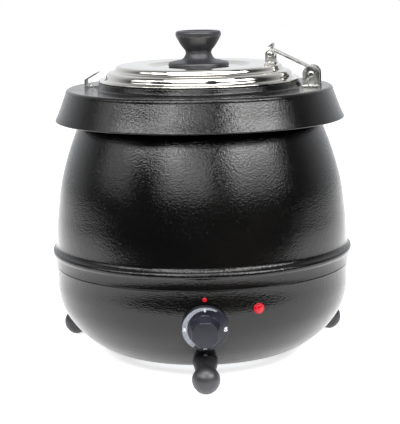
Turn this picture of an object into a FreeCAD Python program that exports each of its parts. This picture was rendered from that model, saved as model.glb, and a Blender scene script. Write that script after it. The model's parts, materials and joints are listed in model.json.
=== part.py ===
"""Electric wet-heat soup kettle: black barrel body on three ball feet, loose collar, hinged steel lid.

Millimetres, +Z up. The origin is on the vertical axis, at the surface that the kettle stands on.
The front, with the thermostat knob, faces -Y. The lid's hinge is near +X.
"""
import FreeCAD, Part
import math
import os

V = FreeCAD.Vector
X, Y, Z = V(1, 0, 0), V(0, 1, 0), V(0, 0, 1)
ORIGIN = V(0, 0, 0)

# ---- driving dimensions ----------------------------------------------------------------
SHEET = 1.2                 # body sheet thickness
BEAD_R, BEAD_Z = 170.0, 122.6
SEAM_R, SEAM_Z = 166.0, 107.0
SHELL_TOP_Z = 288.0
MOUTH_R = 116.0             # hole in the shell's top flange
BOWL_FLOOR_Z = 7.6
BOWL_HOLE_R = 80.0
COLLAR_EDGE_R, COLLAR_EDGE_Z = 162.4, 270.0
COLLAR_TOP_Z = 305.0
COLLAR_SHEET = 1.4
RING_R, RING_TOP_Z = 113.6, 312.4   # raised ring round the collar's mouth
RING_HOLE_R = 104.5
LID_R = 113.0
LID_CENTRE_Z, LID_STEP_Z = 327.4, 330.0     # dished centre and the raised step round it
LID_SHEET = 1.0
KNOB_TOP_Z = 367.0
PAN_R, PAN_FLOOR_Z = 115.2, 60.0
PAN_SHEET = 1.0
POT_R, POT_FLOOR_Z = 109.0, 70.0
POT_SHEET = 1.0
RIM_R = 118.0               # the soup pot's rim
ELEMENT_R, TUBE_R = 70.0, 4.0
BASE_SCREW_R = 84.0
FOOT_R, FOOT_Z, FOOT_REACH = 15.0, 14.6, 176.0
LEG_START = V(118.0, 0, 21.0)       # root of a leg's axis, inside the bowl
LEG_ROOT_R, LEG_NECK_R = 14.5, 9.0
FOOT_ANGLES = {"front": -90, "right": 30, "left": 150}
DIAL_Z, DIAL_TILT = 68.0, 9.0       # thermostat axis: height and degrees below level
DIAL_FACE_R = 163.6                 # distance of the dial's back from the kettle's axis
DIAL_R = 25.0
SHAFT_R = 3.0
DIAL_SCREW_X = 14.0
LAMP_ANGLE, LAMP_Z, LAMP_TILT = -70.0, 85.0, 3.0
LAMP_R = 6.0
POINTER_Z = 97.5
GLAND_Z = 62.0
GLAND_BORE_R = 3.6                  # the cord's grip, in the clamp nut only
GLAND_GRIP_Y = 168.0                # where the wider bore of the thread ends
GLAND_THREAD_R = 7.9
GLAND_TIP_Y = FOOT_REACH + FOOT_R
HINGE_ANGLE = -10.0
HINGE_R, HINGE_Z = 127.0, 319.0     # hinge pin's distance from the axis, and height
LID_PIN_R, LID_PIN_Z = 81.5, 341.0
BASE_HALF, BASE_FOOT = 9.4, 13.0     # hinge plates: half width and depth of the foot
LID_HALF, LID_FOOT = 5.0, 12.0
PIN_R = 2.5
CHEEK = 2.0                         # hinge plate thickness
CHEEK_GAP = 20.6                    # clear width between two cheeks
ARM_WIDTH = 19.8
RUNNING = 0.05                      # radial clearance of a turning fit
RIVET_HOLE_R = 1.55
CLIP_RIVET_R = 124.2

os.makedirs("parts", exist_ok=True)


# ---- helpers ---------------------------------------------------------------------------
def at(radius, height):
    return V(radius, 0, height)


def path_edges(path):
    """Edges of a path. Each step is [end] for a line, [middle, end] for an arc, more for a spline."""
    edges = []
    here = path[0][0]
    for step in path[1:]:
        points = [at(*here)] + [at(*p) for p in step]
        if len(step) == 1:
            edges.append(Part.LineSegment(points[0], points[1]).toShape())
        elif len(step) == 2:
            edges.append(Part.Arc(*points).toShape())
        else:
            curve = Part.BSplineCurve()
            curve.interpolate(points)
            edges.append(curve.toShape())
        here = step[-1]
    return edges


def revolve(edges):
    face = Part.Face(Part.Wire(edges))
    return face.revolve(ORIGIN, Z, 360)


def lathe(*path):
    """Solid of revolution about Z, from a path that a straight line closes."""
    edges = path_edges(path)
    first, last = path[0][0], path[-1][-1]
    if math.dist(first, last) > 1e-6:
        edges.append(Part.LineSegment(at(*last), at(*first)).toShape())
    return revolve(edges)


def inset(path, thickness):
    """The same path moved to its right-hand side by the thickness."""
    flat = [p for step in path for p in step]
    moved = []
    for i, (r, z) in enumerate(flat):
        before = flat[max(i - 1, 0)]
        after = flat[min(i + 1, len(flat) - 1)]
        a = math.atan2(z - before[1], r - before[0]) if i else None
        b = math.atan2(after[1] - z, after[0] - r) if i < len(flat) - 1 else None
        a = b if a is None else a
        b = a if b is None else b
        turn = math.remainder(b - a, 2 * math.pi)
        side = a + turn / 2 - math.pi / 2
        reach = thickness / max(math.cos(turn / 2), 0.5)
        moved.append((max(r + reach * math.cos(side), 0.0), z + reach * math.sin(side)))
    result = []
    for step in path:
        result.append(moved[:len(step)])
        moved = moved[len(step):]
    return result


def sheet(thickness, *path):
    """Sheet of revolution: the path is one face, and the metal lies on its right-hand side."""
    other = inset(path, thickness)
    edges = path_edges(path)
    back = path_edges(other)
    closing = [Part.LineSegment(at(*path[-1][-1]), at(*other[-1][-1])).toShape()]
    opening = [Part.LineSegment(at(*other[0][0]), at(*path[0][0])).toShape()]
    return revolve(edges + closing + back[::-1] + opening)


def cylinder(radius, length, base=ORIGIN, axis=Z):
    return Part.makeCylinder(radius, length, base, axis)


def box(size, low):
    return Part.makeBox(size[0], size[1], size[2], V(*low))


def hexagon(across, height, base=ORIGIN, axis=Z):
    """Hexagonal prism on the axis."""
    corner = across / math.sqrt(3)
    points = [V(corner * math.cos(math.radians(a)), corner * math.sin(math.radians(a)), 0)
              for a in range(0, 361, 60)]
    prism = Part.Face(Part.makePolygon(points)).extrude(V(0, 0, height))
    prism.Placement = FreeCAD.Placement(base, FreeCAD.Rotation(Z, axis))
    return prism


def turned(shape, degrees):
    """A copy turned about the kettle's axis."""
    copy = shape.copy()
    copy.rotate(ORIGIN, Z, degrees)
    return copy


def aimed(shape, origin, axis):
    """A copy of a shape made along +Z from zero, moved to the origin and pointed along the axis."""
    copy = shape.copy()
    copy.Placement = FreeCAD.Placement(origin, FreeCAD.Rotation(Z, axis)).multiply(copy.Placement)
    return copy


def bent_rod(points, radius):
    """Rod through the points with round corners."""
    rod = cylinder(radius, (points[1] - points[0]).Length, points[0], points[1] - points[0])
    for start, end in zip(points[1:], points[2:]):
        run = cylinder(radius, (end - start).Length, start, end - start)
        rod = rod.fuse(run).fuse(Part.makeSphere(radius, start))
    return rod


def save(name, *solids):
    shape = solids[0] if len(solids) == 1 else Part.makeCompound(list(solids))
    shape.exportStep("parts/" + name + ".step")


# ---- body casings ----------------------------------------------------------------------
BOWL_CURVE = [(165.0, 80.0), (160.8, 61.5), (151.7, 45.0), (138.5, 30.0), (118.8, 15.6),
              (103.0, 9.6), (92.0, BOWL_FLOOR_Z)]


def bowl_radius(height):
    """Outer radius of the bowl at a height, between the points of its curve."""
    for (r1, z1), (r2, z2) in zip(BOWL_CURVE, BOWL_CURVE[1:]):
        if z2 <= height <= z1:
            return r2 + (r1 - r2) * (height - z2) / (z1 - z2)
    return BOWL_CURVE[0][0]


def bowl_block():
    """Everything inside the bowl's outer face."""
    return lathe([(0, SEAM_Z)], [(SEAM_R - 0.2, SEAM_Z)], [(165.4, 97.0)], BOWL_CURVE, [(0, BOWL_FLOOR_Z)])


def upper_shell():
    """Barrel wall from the seam, over the rolled bead, to the inward flange that carries the pan."""
    return sheet(
        -SHEET,
        [(SEAM_R, SEAM_Z)],
        [(168.2, 118.6)],
        [(BEAD_R, BEAD_Z), (168.4, 126.2)],
        [(165.8, 128.2), (164.7, 131.5)],
        [(164.3, 149.0), (162.8, 166.0), (158.0, 200.0), (148.6, 234.0), (135.4, 268.0), (128.4, 281.0)],
        [(126.2, 286.4), (121.5, SHELL_TOP_Z)],
        [(MOUTH_R, SHELL_TOP_Z)],
    )


def lower_bowl():
    """Round casing: its joggled top tucks inside the shell's foot, its bottom turns in to a hole."""
    body = sheet(
        SHEET,
        [(SEAM_R - 1.6, SEAM_Z + 9.0)],
        [(SEAM_R - 1.6, SEAM_Z - 0.2)],
        [(SEAM_R - 0.3, SEAM_Z - 1.2)],
        [(165.4, 97.0)],
        BOWL_CURVE,
        [(BOWL_HOLE_R, BOWL_FLOOR_Z)],
    )
    origin, axis = dial_frame()
    tools = [cylinder(SHAFT_R + 2.0, 40, origin - axis * 20, axis)]
    for side in (-1, 1):
        tools.append(cylinder(2.1, 40, origin + X * side * DIAL_SCREW_X - axis * 20, axis))
    lamp, out = lamp_frame()
    tools.append(cylinder(LAMP_R - 0.3, 30, lamp - out * 15, out))
    tools.append(cylinder(GLAND_THREAD_R + 0.1, 60, V(0, 130, GLAND_Z), Y))
    tools.append(cylinder(1.6, 20, V(0, -150, POINTER_Z), -Y))
    seat, inward = foot_screw_frame()
    for angle in FOOT_ANGLES.values():
        tools.append(turned(cylinder(2.8, 16, seat - inward * 8, inward), angle))
    for angle in BASE_SCREW_ANGLES:
        tools.append(turned(cylinder(2.1, 10, V(BASE_SCREW_R, 0, 4), Z), angle))
    tools.extend(seam_holes())
    return body.cut(Part.makeCompound(tools))


def seam_holes():
    hole = cylinder(2.05, 24, SEAM_SCREW_SEAT - SEAM_OUT * 12, SEAM_OUT)
    return [turned(hole, a) for a in SEAM_SCREW_ANGLES]


BASE_SCREW_ANGLES = (45, 135, 225, 315)
SEAM_SCREW_ANGLES = (20, 90, 160)
SEAM_SCREW_SEAT = V(SEAM_R + 1.14, 0, SEAM_Z + 6.0)
SEAM_OUT = V(11.6, 0, -2.2).normalize()     # square to the shell's flared foot


def base_plate():
    """Disc that closes the bowl from below, with a ring of cooling holes."""
    plate = cylinder(BOWL_HOLE_R + 8, SHEET, V(0, 0, BOWL_FLOOR_Z - SHEET))
    vents = [turned(cylinder(3.0, 10, V(66, 0, 0)), a) for a in range(0, 360, 30)]
    holes = [turned(cylinder(2.1, 10, V(BASE_SCREW_R, 0, 0)), a) for a in BASE_SCREW_ANGLES]
    return plate.cut(Part.makeCompound(vents + holes))


def pan_head_screw(radius, length, head_r, head_h):
    """Screw along +Z: the head's underside is at zero and the thread runs to -length."""
    head = lathe([(0, 0)], [(head_r, 0)], [(head_r, head_h * 0.4)],
                 [(head_r * 0.85, head_h * 0.85), (head_r * 0.5, head_h)], [(0, head_h)])
    return head.fuse(cylinder(radius, length, V(0, 0, -length))).removeSplitter()


# ---- feet ------------------------------------------------------------------------------
def foot():
    """Tapered leg and ball in one moulding, with a small flat where it rests."""
    ball = V(FOOT_REACH, 0, FOOT_Z)
    along = ball - LEG_START
    leg = Part.makeCone(LEG_ROOT_R, LEG_NECK_R, along.Length, LEG_START, along)
    root = Part.makeSphere(LEG_ROOT_R + 0.3, LEG_START)
    body = leg.fuse(root).fuse(Part.makeSphere(FOOT_R, ball))
    body = body.cut(bowl_block()).cut(box((120, 80, 20), (100, -40, -20)))
    seat, inward = foot_screw_frame()
    body = body.cut(cylinder(2.55, 15, seat, -inward))
    return max(body.Solids, key=lambda s: s.Volume)


def foot_screw_frame():
    """Seat on the bowl's inner face above the leg's root, and the direction into the bowl."""
    (r1, z1), (r2, z2), (r3, z3) = BOWL_CURVE[2:5]
    inward = V(z3 - z1, 0, r1 - r3).normalize()
    return V(r2, 0, z2) + inward * (SHEET + 0.25), inward


def foot_screw():
    """Screw from inside the bowl into the leg."""
    seat, inward = foot_screw_frame()
    return aimed(pan_head_screw(2.5, 14, 4.5, 2.6), seat, inward)


# ---- collar, pan and pot ---------------------------------------------------------------
def collar():
    """Flared ring with a crisp lower edge, a flat top and a raised ring round its mouth."""
    return sheet(
        -COLLAR_SHEET,
        [(COLLAR_EDGE_R, COLLAR_EDGE_Z)],
        [(157.6, 281.0), (152.6, 294.0), (150.2, 301.0)],
        [(149.2, 303.9), (145.5, COLLAR_TOP_Z)],
        [(RING_R + 4.2, COLLAR_TOP_Z)],
        [(RING_R + 1.9, 305.9), (RING_R + 1.1, 307.6)],
        [(RING_R, RING_TOP_Z - 2.0)],
        [(RING_R - 0.6, RING_TOP_Z - 0.6), (RING_R - 2.0, RING_TOP_Z)],
        [(RING_HOLE_R + 1.8, RING_TOP_Z)],
        [(RING_HOLE_R + 0.4, RING_TOP_Z - 0.6), (RING_HOLE_R, RING_TOP_Z - 2.0)],
        [(RING_HOLE_R, RING_TOP_Z - 6.0)],
    )


def collar_guide():
    """Ring welded under the collar: it stands on the pan's flange and centres the collar."""
    top = COLLAR_TOP_Z - 1.4
    return lathe([(119.2, SHELL_TOP_Z + PAN_SHEET)], [(120.6, SHELL_TOP_Z + PAN_SHEET)], [(120.6, top)],
                 [(119.2, top)])


def water_pan():
    """Fixed well for the water, hung by its flange in the shell's mouth."""
    top = SHELL_TOP_Z + PAN_SHEET
    return sheet(
        -PAN_SHEET,
        [(0, PAN_FLOOR_Z)],
        [(PAN_R - 8, PAN_FLOOR_Z)],
        [(PAN_R - 2.3, PAN_FLOOR_Z + 2.3), (PAN_R, PAN_FLOOR_Z + 8)],
        [(PAN_R, SHELL_TOP_Z)],
        [(121.2, SHELL_TOP_Z)],
    ).fuse(lathe([(PAN_R - PAN_SHEET, SHELL_TOP_Z)], [(121.2, SHELL_TOP_Z)], [(121.2, top)],
                 [(PAN_R - PAN_SHEET, top)])).removeSplitter()


def inner_pot():
    """Soup pot with a rolled rim that rests on the pan's flange."""
    seat = SHELL_TOP_Z + PAN_SHEET
    wall = sheet(
        -POT_SHEET,
        [(0, POT_FLOOR_Z)],
        [(POT_R - 14, POT_FLOOR_Z)],
        [(POT_R - 4.1, POT_FLOOR_Z + 4.1), (POT_R, POT_FLOOR_Z + 14)],
        [(POT_R, seat)],
    )
    rim = lathe([(POT_R - POT_SHEET, seat - 4)], [(POT_R, seat - 4)], [(POT_R, seat)], [(RIM_R - 1.2, seat)],
                [(RIM_R, seat + 1.2), (RIM_R - 1.2, seat + 2.4)], [(RIM_R - 3, seat + 1.2)],
                [(POT_R - POT_SHEET, seat + 1.2)])
    return wall.fuse(rim).removeSplitter()


# ---- heating ---------------------------------------------------------------------------
STUD_PCD_R = 45.0
STUD_ANGLES = (30, 150, 270)
PLATE_TOP_Z = PAN_FLOOR_Z - 2 * TUBE_R - 0.2
CAPILLARY_X = -42.0


def heating_element():
    """Open ring of sheathed tube under the pan, with a terminal block and a cold leg at each end."""
    height = PAN_FLOOR_Z - TUBE_R - 0.1
    section = Part.Face(Part.Wire(Part.makeCircle(TUBE_R, V(ELEMENT_R, 0, height), Y)))
    half_gap = 10.0
    element = turned(section.revolve(ORIGIN, Z, 360 - 2 * half_gap), 90 + half_gap)
    reach = ELEMENT_R * math.sin(math.radians(half_gap))
    for side in (-1, 1):
        block = box((11, 12, 2 * TUBE_R - 0.6), (side * reach - 5.5, ELEMENT_R - 7, height - TUBE_R + 0.3))
        leg = cylinder(TUBE_R - 1.0, 20, V(side * reach, ELEMENT_R + 4, height), Y)
        element = element.fuse(block).fuse(leg)
    return element.removeSplitter()


def element_plate():
    """Heat spreader under the element, with holes for the studs, the cut-out and the capillary."""
    plate = cylinder(88, 1.6, V(0, 0, PLATE_TOP_Z - 1.6))
    holes = [turned(cylinder(2.7, 10, V(STUD_PCD_R, 0, PLATE_TOP_Z - 5)), a) for a in STUD_ANGLES]
    holes.append(cylinder(12, 10, V(0, 0, PLATE_TOP_Z - 5)))
    holes.append(cylinder(2.5, 10, V(CAPILLARY_X, -30, PLATE_TOP_Z - 5)))
    return plate.cut(Part.makeCompound(holes))


def element_studs():
    return [turned(cylinder(2.5, 17, V(STUD_PCD_R, 0, PAN_FLOOR_Z - 17)), a) for a in STUD_ANGLES]


def element_nuts():
    top = PLATE_TOP_Z - 1.6
    nut = hexagon(8, 4, V(STUD_PCD_R, 0, top - 4)).cut(cylinder(2.52, 10, V(STUD_PCD_R, 0, top - 7)))
    return [turned(nut, a) for a in STUD_ANGLES]


def cutout_switch():
    """Overheat cut-out: a button thermostat under the pan's middle."""
    base = cylinder(8, 3, V(0, 0, PAN_FLOOR_Z - 3))
    body = cylinder(6.5, 9, V(0, 0, PAN_FLOOR_Z - 12))
    tabs = [box((1, 5, 8), (x, -2.5, PAN_FLOOR_Z - 20)) for x in (-4.5, 3.5)]
    result = base.fuse(body)
    for tab in tabs:
        result = result.fuse(tab)
    return result


def sensor_bulb():
    return cylinder(3.0, 60, V(-30, -30, PAN_FLOOR_Z - 3.1), X)


def sensor_clip():
    """Saddle that presses the bulb against the pan's floor."""
    low = PAN_FLOOR_Z - 7.6
    saddle = box((10, 14, 7.6), (-5, -37, low)).cut(cylinder(3.05, 60, V(-30, -30, PAN_FLOOR_Z - 3.1), X))
    slot = box((12, 6.1, 5), (-6, -33.05, PAN_FLOOR_Z - 3.1))
    return saddle.cut(slot)


# ---- thermostat and knob ---------------------------------------------------------------


def dial_frame():
    """Middle of the dial's back, and the outward direction of the thermostat's axis."""
    tilt = math.radians(DIAL_TILT)
    return V(0, -DIAL_FACE_R, DIAL_Z), V(0, -math.cos(tilt), -math.sin(tilt))


def on_dial(shape):
    """From a frame with +Z outward and +Y up the dial, to the front of the bowl."""
    origin, axis = dial_frame()
    up = V(0, -math.sin(math.radians(DIAL_TILT)), math.cos(math.radians(DIAL_TILT)))
    across = up.cross(axis)
    matrix = FreeCAD.Matrix(across.x, up.x, axis.x, origin.x,
                            across.y, up.y, axis.y, origin.y,
                            across.z, up.z, axis.z, origin.z,
                            0, 0, 0, 1)
    copy = shape.copy()
    copy.Placement = FreeCAD.Placement(matrix).multiply(copy.Placement)
    return copy


def control_knob():
    """Round dial skirt, hollow behind, and an eight-sided tapered grip."""
    skirt = lathe([(0, 4.0)], [(DIAL_R - 2.0, 4.0)], [(DIAL_R - 2.0, 0)], [(DIAL_R, 0)], [(DIAL_R, 4.2)],
                  [(DIAL_R - 0.3, 5.3), (DIAL_R - 1.5, 5.8)], [(18.5, 7.6)], [(17.0, 8.6)], [(0, 8.6)])
    corners = [math.radians(22.5 + 45 * k) for k in range(9)]
    wires = []
    for height, radius in ((7.0, 17.4), (23.0, 15.6)):
        wires.append(Part.makePolygon([V(radius * math.cos(a), radius * math.sin(a), height) for a in corners]))
    grip = Part.makeLoft(wires, True, True)
    cap = Part.makeLoft([wires[1], Part.makePolygon([V(14.2 * math.cos(a), 14.2 * math.sin(a), 24.2)
                                                     for a in corners])], True, True)
    knob = skirt.fuse(grip).fuse(cap)
    knob = knob.fuse(cylinder(6.0, 6.0, V(0, 0, 0.5)))
    return on_dial(knob.cut(cylinder(SHAFT_R + 0.02, 18.0, V(0, 0, 0)))).removeSplitter()


def thermostat_shaft():
    return on_dial(cylinder(SHAFT_R, 36.0, V(0, 0, -20.0)))


def thermostat_body():
    """Case, front plate and bush of the thermostat."""
    case = box((34, 36, 20), (-17, -18, -32))
    plate = box((38, 22, 1.6), (-19, -11, -12))
    bush = cylinder(5.0, 4.5, V(0, 0, -10.4))
    body = case.fuse(plate).fuse(bush)
    body = body.cut(cylinder(SHAFT_R + RUNNING, 16.0, V(0, 0, -20.0)))
    for side in (-1, 1):
        body = body.cut(cylinder(2.05, 12, V(side * DIAL_SCREW_X, 0, -18)))
    tabs = [box((5, 0.8, 7), (x, y, -39)) for x in (-12, 7) for y in (-8, 8)]
    for tab in tabs:
        body = body.fuse(tab)
    return on_dial(body).removeSplitter()


def thermostat_screws():
    screw = pan_head_screw(2.0, 14.5, 3.6, 1.7)
    return [on_dial(screw.translated(V(side * DIAL_SCREW_X, 0, -0.9))) for side in (-1, 1)]


def thermostat_spacers():
    """Two sleeves between the bowl and the thermostat's plate."""
    inside = bowl_block().cut(lower_bowl_wall())
    sleeves = []
    for side in (-1, 1):
        tube = cylinder(3.6, 12, V(side * DIAL_SCREW_X, 0, -10.4))
        tube = tube.cut(cylinder(2.05, 40, V(side * DIAL_SCREW_X, 0, -20)))
        sleeves.append(max(on_dial(tube).common(inside).Solids, key=lambda s: s.Volume))
    return sleeves


def lower_bowl_wall():
    """The bowl's wall without its holes."""
    return sheet(SHEET, [(SEAM_R - 0.2, SEAM_Z)], [(165.4, 97.0)], BOWL_CURVE, [(BOWL_HOLE_R, BOWL_FLOOR_Z)])


def capillary():
    """Thin tube from the sensor bulb to the thermostat."""
    start = V(-30, -30, PAN_FLOOR_Z - 3.1)
    points = [start, V(CAPILLARY_X, -30, start.z), V(CAPILLARY_X, -30, 44), V(-50, -62, 42),
              V(-40, -100, 43), V(-16, -116, 52), V(-6, -128.8, 59.2)]
    return bent_rod(points, 0.8)


# ---- pilot lamp and pointer ------------------------------------------------------------
def lamp_frame():
    """Point on the bowl's face and outward direction at the lamp."""
    angle, tilt = math.radians(LAMP_ANGLE), math.radians(LAMP_TILT)
    out = V(math.cos(tilt) * math.cos(angle), math.cos(tilt) * math.sin(angle), -math.sin(tilt))
    radius = 165.3
    return V(radius * math.cos(angle), radius * math.sin(angle), LAMP_Z), out


def pilot_lens():
    """Domed lens with a thin flange against the bowl."""
    origin, out = lamp_frame()
    lens = lathe([(0, 0.3)], [(LAMP_R, 0.3)], [(LAMP_R, 1.4)], [(LAMP_R - 0.7, 2.7), (LAMP_R - 2.4, 3.4)],
                 [(LAMP_R - 4.8, 3.8)], [(0, 3.8)])
    return aimed(lens, origin, out)


def lamp_body():
    origin, out = lamp_frame()
    body = cylinder(LAMP_R - 0.5, 20.3, V(0, 0, -20))
    tabs = [box((0.8, 4, 8), (x, -2, -28)) for x in (-3, 2.2)]
    for tab in tabs:
        body = body.fuse(tab)
    return aimed(body, origin, out)


def lamp_nut():
    """Push-on ring that holds the lamp from inside."""
    origin, out = lamp_frame()
    ring = cylinder(9.0, 2.0, V(0, 0, -4.2)).cut(cylinder(LAMP_R - 0.45, 10, V(0, 0, -8)))
    return aimed(ring, origin, out)


def pointer_dot():
    """Red stud over the dial that marks the setting."""
    stud = lathe([(0, 0)], [(1.5, 0)], [(1.5, 4.6)], [(2.5, 4.6)], [(2.1, 5.3), (1.0, 5.7)], [(0, 5.7)])
    return aimed(stud, V(0, -160.9, POINTER_Z), -Y)


# ---- mains inlet -----------------------------------------------------------------------
def cable_gland():
    """Gland for the mains lead: thread through the bowl, hexagon and domed clamp nut."""
    seat = bowl_radius(GLAND_Z) - 3.0
    hexed = hexagon(22, 9, V(0, seat, GLAND_Z), Y)
    start = seat + 9
    reach = GLAND_TIP_Y - start
    dome = lathe([(0, 0)], [(9.6, 0)], [(9.6, reach - 5.5)], [(8.8, reach - 2.0), (6.4, reach)], [(0, reach)])
    hexed = hexed.fuse(aimed(dome, V(0, start, GLAND_Z), Y)).cut(bowl_block())
    thread = cylinder(GLAND_THREAD_R, 20, V(0, seat - 14, GLAND_Z), Y)
    gland = max(hexed.Solids, key=lambda s: s.Volume).fuse(thread)
    wide_from = 130.0
    gland = gland.cut(cylinder(GLAND_BORE_R + 1.8, GLAND_GRIP_Y - wide_from, V(0, wide_from, GLAND_Z), Y))
    return gland.cut(cylinder(GLAND_BORE_R, 80, V(0, wide_from, GLAND_Z), Y)).removeSplitter()


def gland_nut():
    seat = bowl_radius(GLAND_Z) - 3.0
    nut = hexagon(22, 4, V(0, seat - 12, GLAND_Z), Y)
    return nut.cut(cylinder(GLAND_THREAD_R + 0.02, 40, V(0, 130, GLAND_Z), Y))


def terminal_block():
    """Three-way block on the base plate."""
    block = box((36, 18, 14), (-18, 40, BOWL_FLOOR_Z))
    for x in (-12, 0, 12):
        block = block.fuse(box((8, 12, 5), (x - 4, 43, BOWL_FLOOR_Z + 14)))
        block = block.cut(cylinder(1.8, 30, V(x, 35, BOWL_FLOOR_Z + 8), Y))
    return block.removeSplitter()


def earth_stud():
    stud = cylinder(2.5, 14, V(38, 44, BOWL_FLOOR_Z))
    return stud.fuse(hexagon(8, 3.5, V(38, 44, BOWL_FLOOR_Z + 2)))


def lead_wires():
    """Inner wires from the block to the thermostat, the lamp and the element."""
    low = BOWL_FLOOR_Z + 8
    routes = [
        [V(-12, 39, low), V(-30, 20, 26), V(-60, -40, 34), V(-30, -108, 40), V(-9.5, -126, 53)],
        [V(0, 39, low), V(20, 10, 28), V(60, -60, 36), V(52, -118, 60), V(48.5, -127, 80)],
        [V(12, 59, low), V(14, 80, 30), V(12, 99, 48)],
    ]
    return [bent_rod(route, 1.1) for route in routes]


# ---- lid -------------------------------------------------------------------------------
def lid():
    """Stepped shallow dome with a rolled edge and a locating lip that drops inside the ring."""
    rim_z = RING_TOP_Z + 0.1
    dome = sheet(
        LID_SHEET,
        [(0, LID_CENTRE_Z)],
        [(51.0, LID_CENTRE_Z)],
        [(53.7, 327.75), (56.2, 328.8)],
        [(58.5, 329.7), (61.0, LID_STEP_Z)],
        [(89.5, LID_STEP_Z)],
        [(92.0, 329.2), (93.6, 327.2)],
        [(95.0, 324.9), (97.6, 323.9)],
        [(100.0, 323.2)],
        [(103.6, 321.2), (105.0, 317.6)],
        [(106.0, 315.3), (108.2, 314.4)],
        [(LID_R - 1.2, 314.4)],
    )
    edge = lathe(
        [(LID_R - 2.4, rim_z)],
        [(LID_R - 0.9, rim_z)],
        [(LID_R, rim_z + 1.0), (LID_R - 1.2, 314.4)],
        [(LID_R - 2.4, 314.0)],
    )
    lip_r = RING_HOLE_R - 1.4
    lip = lathe([(lip_r - 1.0, 308.0)], [(lip_r, 308.0)], [(lip_r, 320.8)], [(lip_r - 1.0, 321.4)])
    body = dome.fuse(edge).fuse(lip)
    holes = [cylinder(2.6, 20, V(0, 0, LID_CENTRE_Z - 10))]
    for x, y in lid_rivet_places():
        holes.append(turned(cylinder(RIVET_HOLE_R, 30, V(x, y, 305)), HINGE_ANGLE))
    return body.cut(Part.makeCompound(holes)).removeSplitter()


def lid_knob():
    """Moulded knob: flat flange, waist and a flared cup top."""
    base = LID_CENTRE_Z
    top = KNOB_TOP_Z
    body = lathe(
        [(0, base)],
        [(33.0, base)],
        [(34.0, base + 1.6), (33.2, base + 3.6)],
        [(30.0, base + 5.6), (24.0, base + 7.0)],
        [(18.4, base + 8.4), (15.6, base + 12.0)],
        [(14.5, base + 15.4), (15.4, base + 18.6)],
        [(20.6, base + 25.4), (24.0, base + 31.6)],
        [(25.5, base + 34.8), (25.4, top - 2.6)],
        [(23.8, top - 0.7), (21.5, top)],
        [(0, top)],
    )
    return body.cut(cylinder(2.02, 18, V(0, 0, base)))


def lid_knob_screw():
    """Screw from inside the lid into the knob."""
    return aimed(pan_head_screw(2.0, 17.0, 4.0, 2.2), V(0, 0, LID_CENTRE_Z - LID_SHEET - 1.0), -Z)


def lid_knob_washer():
    top = LID_CENTRE_Z - LID_SHEET
    return cylinder(8.0, 1.0, V(0, 0, top - 1.0)).cut(cylinder(2.1, 4, V(0, 0, top - 2)))


# ---- hinge, built with +X outward along the hinge's radius ------------------------------
def cheek(side, gap, pin, low, half, width_top, foot_depth):
    """L-shaped hinge plate: a rounded upright with a hole for the pin, and a foot turned outward."""
    pin_x, pin_z = pin
    top = pin_z + width_top
    y = side * (gap / 2) if side > 0 else -(gap / 2) - CHEEK
    upright = box((2 * half, CHEEK, top - low), (pin_x - half, y, low))
    keep = box((2 * half, CHEEK, top - width_top - low), (pin_x - half, y, low))
    keep = keep.fuse(cylinder(half, CHEEK, V(pin_x, y, top - half), Y))
    keep = keep.fuse(box((2 * half, CHEEK, max(top - half - low, 1)), (pin_x - half, y, low)))
    upright = upright.common(keep)
    foot_y = y if side > 0 else y + CHEEK - foot_depth
    plate = box((2 * half, foot_depth, CHEEK), (pin_x - half, foot_y, low))
    hole = cylinder(PIN_R + 0.02, 80, V(pin_x, -40, pin_z), Y)
    return upright.fuse(plate).cut(hole)


def base_rivet_places():
    y = CHEEK_GAP / 2 + CHEEK + (BASE_FOOT - CHEEK) / 2
    return [(HINGE_R, -y), (HINGE_R, y)]


def lid_rivet_places():
    y = CHEEK_GAP / 2 + CHEEK + (LID_FOOT - CHEEK) / 2
    return [(LID_PIN_R, -y), (LID_PIN_R, y)]


def base_cheek(side):
    plate = cheek(side, CHEEK_GAP, (HINGE_R, HINGE_Z), COLLAR_TOP_Z, BASE_HALF, BASE_HALF, BASE_FOOT)
    holes = [cylinder(RIVET_HOLE_R, 12, V(x, y, COLLAR_TOP_Z - 5)) for x, y in base_rivet_places()]
    return turned(plate.cut(Part.makeCompound(holes)), HINGE_ANGLE)


def lid_cheek(side):
    plate = cheek(side, CHEEK_GAP, (LID_PIN_R, LID_PIN_Z), LID_STEP_Z, LID_HALF, LID_HALF, LID_FOOT)
    holes = [cylinder(RIVET_HOLE_R, 12, V(x, y, LID_STEP_Z - 5)) for x, y in lid_rivet_places()]
    return turned(plate.cut(Part.makeCompound(holes)), HINGE_ANGLE)


def headed_pin(x, z, length):
    """Pin along Y with a low domed head at each end, outside the cheeks."""
    body = cylinder(PIN_R, length, V(x, -length / 2, z), Y)
    head = lathe([(0, 0)], [(3.6, 0)], [(3.0, 1.2), (1.4, 1.8)], [(0, 1.8)])
    body = body.fuse(aimed(head, V(x, -length / 2, z), -Y))
    body = body.fuse(aimed(head, V(x, length / 2, z), Y))
    return turned(body, HINGE_ANGLE)


def hinge_pin():
    return headed_pin(HINGE_R, HINGE_Z, CHEEK_GAP + 2 * CHEEK)


def hinge_lid_pin():
    return headed_pin(LID_PIN_R, LID_PIN_Z, CHEEK_GAP + 2 * CHEEK)


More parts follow.
